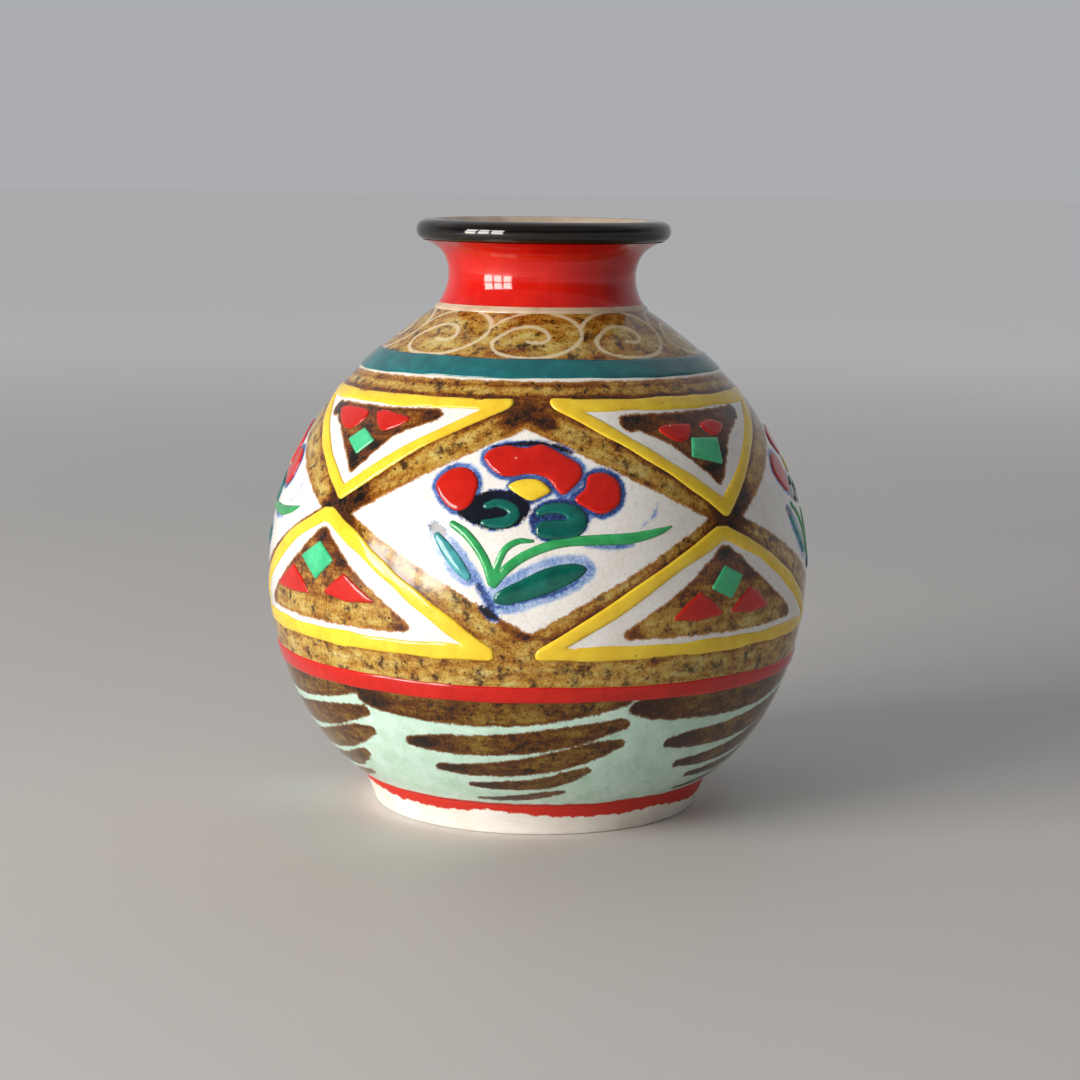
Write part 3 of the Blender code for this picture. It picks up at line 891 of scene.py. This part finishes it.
# THE GEMS
# Two red drops and a green one on each panel. Panels take turns between two ways of setting
# them. Each drop is one touch of the trailer, flattened by its own weight.
UPPER_REDS = (
    (((-17, 105.5), (-12, 106.9), (-4.6, 106.6), (-2.5, 105), (-4.2, 102.2), (-7.5, 100.4), (-12, 101.4)),
     ((0, 106), (3, 107), (7, 106.4), (11.8, 105.2), (9.3, 102.6), (5.4, 101.1), (2.6, 102.6))),
    (((-12.1, 102.9), (-8.8, 104.3), (-2.4, 104.2), (-2.6, 101.9), (-5.2, 99.7), (-8.6, 99.6)),
     ((1.4, 103.9), (6, 104.9), (9.8, 103.4), (7.9, 101.2), (4.7, 100.3), (2.2, 101.6))),
)
UPPER_GREENS = (
    ((-5.2, 98), (-1.2, 101.2), (3.7, 98.4), (0, 94.7)),
    ((-5.2, 95.6), (-3.2, 100.1), (5.1, 99.6), (3.4, 93.2)),
)
LOWER_REDS = (
    (((-22.6, 58.9), (-16.8, 62), (-12, 64.9), (-7.3, 62), (-4.3, 59.1), (-13, 58.6)),
     ((2.4, 60.1), (6.4, 63.3), (9.2, 65), (12.6, 63), (18.4, 59.7), (10, 58.9))),
    (((-15.6, 57), (-12, 60.4), (-8.4, 62.6), (-4.4, 60), (-1.4, 57.2), (-8.4, 56.4)),
     ((15.6, 57.4), (12, 60.4), (8.2, 62.4), (4.4, 60), (1.6, 57.4), (8.4, 56.6))),
)
LOWER_GREENS = (
    ((-7.8, 67.6), (-0.8, 71.8), (4.7, 68), (-1.4, 63)),
    ((-4.7, 63.6), (-0.6, 68.3), (5.1, 65.6), (1.4, 60.8)),
)
DROP_CORNER = 0.4
green_enamel = enamel("Leaf green raised enamel", "#33b079", "#50c98f")


def box_round(points, margin):
    low, high = np.min(points, 0) - margin, np.max(points, 0) + margin
    return low[0], high[0], low[1], high[1]


def drop(middle, outline, gap_to=blot):
    """One drop of enamel in a panel or a flower."""
    return math.radians(middle), box_round(outline, 2), lambda x, up: gap_to(x, up, *outline)


def facet(x, up, *outline):
    """The distance to a straight-sided drop with small round corners."""
    return from_shape(x, up, outline) - DROP_CORNER


reds, greens = [], []
for panels, red_pairs, green_drops, red_outline in (
    (UPPER_PANELS, UPPER_REDS, UPPER_GREENS, blot), (LOWER_PANELS, LOWER_REDS, LOWER_GREENS, facet)
):
    for i, (middle, _) in enumerate(panels):
        reds += [drop(middle, outline, red_outline) for outline in red_pairs[i % 2]]
        greens.append(drop(middle, green_drops[i % 2], facet))
raised("red_panel_drops", reds, 0.3, 0.9, red_enamel)
raised("green_panel_drops", greens, 0.34, 0.9, green_enamel)

# THE FLOWERS
# One flower in each white diamond: three red petals round a yellow eye, two curled teal leaves
# under it, green stems, and two long teal leaves at its foot. Each colour is its own enamel.
stem_enamel = enamel("Grass green raised enamel", "#228d4d", "#40b168")
curl_enamel = enamel("Deep teal raised enamel", "#085048", "#10695f")
leaf_enamel = enamel("Blue-green raised enamel", "#034f43", "#0b6b5c")
pale_enamel = enamel("Pale teal raised enamel", "#1c8489", "#5cb2b8")
flower_turns = [math.degrees(FLOWER_TURN) + 90 * i for i in range(4)]


def trailed(middle, *lines):
    """Brush lines of enamel, joined where they meet."""

    def gap_to(x, up):
        return np.minimum.reduce([stroke(x, up, *line) for line in lines])

    return math.radians(middle), box_round(np.concatenate(lines), 3), gap_to


petals = [drop(m, petal) for m in flower_turns for petal in (LEFT_PETAL, TOP_PETAL, RIGHT_PETAL)]
raised("red_petals", petals, 0.4, 1.2, red_enamel)
eyes = [drop(m, FLOWER_EYE) for m in flower_turns]
raised("yellow_flower_eyes", eyes, 0.42, 1.1, yellow)
curls = [trailed(m, line) for m in flower_turns for line in (SMALL_CURL, BIG_CURL)]
raised("teal_curled_leaves", curls, 0.48, 1.9, curl_enamel)
stems = [trailed(m, LEFT_STEM, MIDDLE_STEM, LONG_STEM) for m in flower_turns]
raised("green_stems", stems, 0.36, 1, stem_enamel)
long_leaves = [drop(m, BIG_LEAF) for m in flower_turns]
raised("teal_long_leaves", long_leaves, 0.49, 3, leaf_enamel)
slim_leaves = [trailed(m, SMALL_LEAF) for m in flower_turns]
raised("pale_slim_leaves", slim_leaves, 0.45, 1.6, pale_enamel)

# THE STAGE
# A pale table under soft light: a window to the left and in front, three panes wide and two high,
# which the glaze mirrors, and a weak pale ceiling. The camera looks from just over the rim.
FLOOR_REACH = 60.0
corners = [(x * FLOOR_REACH, y * FLOOR_REACH, 0) for x, y in ((-1, -1), (1, -1), (1, 1), (-1, 1))]
floor_mesh = bpy.data.meshes.new("pale_table")
floor_mesh.from_pydata(corners, [], [(0, 1, 2, 3)])
floor = bpy.data.objects.new("pale_table", floor_mesh)
bpy.context.scene.collection.objects.link(floor)
table_paint_and_glow, tree, surface, place = finish_of("Pale matt table paint with painted far glow", 0.6, 1.45)
cloud = add(tree, "TexNoise", {"Vector": place, "Scale": 1 / (220 * MM), "Detail": 2})
colour = add(tree, "ValToRGB", {"Fac": cloud}, stops=((0.3, "#d6d4d1"), (0.7, "#d3d1ce")))
dress(tree, surface, colour)
# Far off, the table has a painted glow that stands in for the wall's light, so no edge shows between them
TABLE_NEAR, TABLE_FAR, TABLE_GLOW = 0.25, 1.9, 0.2
from_vase = add(tree, "VectorMath", {0: place}, out="Value", operation="LENGTH")
painted_far_glow = {"Value": from_vase, "From Min": TABLE_NEAR, "From Max": TABLE_FAR, "To Max": TABLE_GLOW}
painted_far_glow = add(tree, "MapRange", painted_far_glow, interpolation_type="SMOOTHSTEP")
# The painted glow: a pale emission whose strength grows with distance from the vase
surface.inputs["Emission Color"].default_value = tone("#eef1f7")
tree.links.new(painted_far_glow, surface.inputs["Emission Strength"])
floor_mesh.materials.append(table_paint_and_glow)

# The room: a pale wall beyond the vase, and dimmer walls behind the viewer
ROOM_STRENGTH = 0.52
world = bpy.data.worlds.new("pale_room")
world.use_nodes = True
room = world.node_tree
way = add(room, "TexCoord", {}, out="Generated")
depth = add(room, "SeparateXYZ", {0: way}, out="Y")
depth = add(room, "MapRange", {"Value": depth, "From Min": -0.7, "From Max": 0.6})
walls = add(room, "ValToRGB", {"Fac": depth}, stops=((0, "#625f5a"), (0.55, "#8b8986"), (1, "#e6e8ec")))
rise = add(room, "SeparateXYZ", {0: way}, out="Z")
rise = add(room, "MapRange", {"Value": rise, "From Min": 0.05, "From Max": 0.2})
walls = add(room, "Mix", {0: rise, 6: "#e6e8ec", 7: walls}, **RGBA)
room.links.new(walls, room.nodes["Background"].inputs["Color"])
room.nodes["Background"].inputs["Strength"].default_value = ROOM_STRENGTH
bpy.context.scene.world = world


def soft_light(name, kind, place, aim, power, colour):
    light = bpy.data.lights.new(name, kind)
    light.energy = power
    light.color = tone(colour)[:3]
    lamp = bpy.data.objects.new(name, light)
    lamp.location = place
    lamp.rotation_euler = (Vector(aim) - Vector(place)).to_track_quat("-Z", "Y").to_euler()
    bpy.context.scene.collection.objects.link(lamp)
    return light


PANE_WIDTH, PANE_HEIGHT = 0.26, 0.33
PANE_GAP = 0.06
PANE_POWER = 4.5
CEILING_POWER = 0.3
middle_of_vase = Vector((0, 0, 0.085))
window = middle_of_vase + Vector((-1.12, -0.78, 0.285))
sideways = (middle_of_vase - window).cross(Vector((0, 0, 1))).normalized()
for column in (-1, 0, 1):
    for row in (-0.5, 0.5):
        name = f"window_pane_{column:+}_{row > 0:d}"
        move = Vector((0, 0, row * (PANE_HEIGHT + PANE_GAP)))
        move += sideways * column * (PANE_WIDTH + PANE_GAP)
        pane = soft_light(name, "AREA", window + move, middle_of_vase, PANE_POWER, "#fffaf4")
        pane.shape = "RECTANGLE"
        pane.size, pane.size_y = PANE_WIDTH, PANE_HEIGHT
ceiling = soft_light("pale_ceiling", "SUN", (0, 0, 2), (0.1, 0.1, 0), CEILING_POWER, "#fbfbff")
ceiling.angle = math.radians(120)

camera = bpy.data.cameras.new("camera")
camera.sensor_width = 36
camera.lens = 80.13
camera.clip_start = 0.01
viewer = bpy.data.objects.new("camera", camera)
VIEW_BACK, VIEW_HEIGHT, VIEW_SIDE = 0.6126, 0.1565, 0.0005
VIEW_DOWN, VIEW_ROLL = math.radians(8.32), math.radians(0.72)
tilt = Matrix.Rotation(math.pi / 2 - VIEW_DOWN, 4, "X") @ Matrix.Rotation(VIEW_ROLL, 4, "Z")
viewer.matrix_world = Matrix.Translation((VIEW_SIDE, -VIEW_BACK, VIEW_HEIGHT)) @ tilt
bpy.context.scene.collection.objects.link(viewer)
bpy.context.scene.camera = viewer
# Plain display colours, so that a glaze's hex value is what the eye gets
bpy.context.scene.view_settings.view_transform = "Standard"
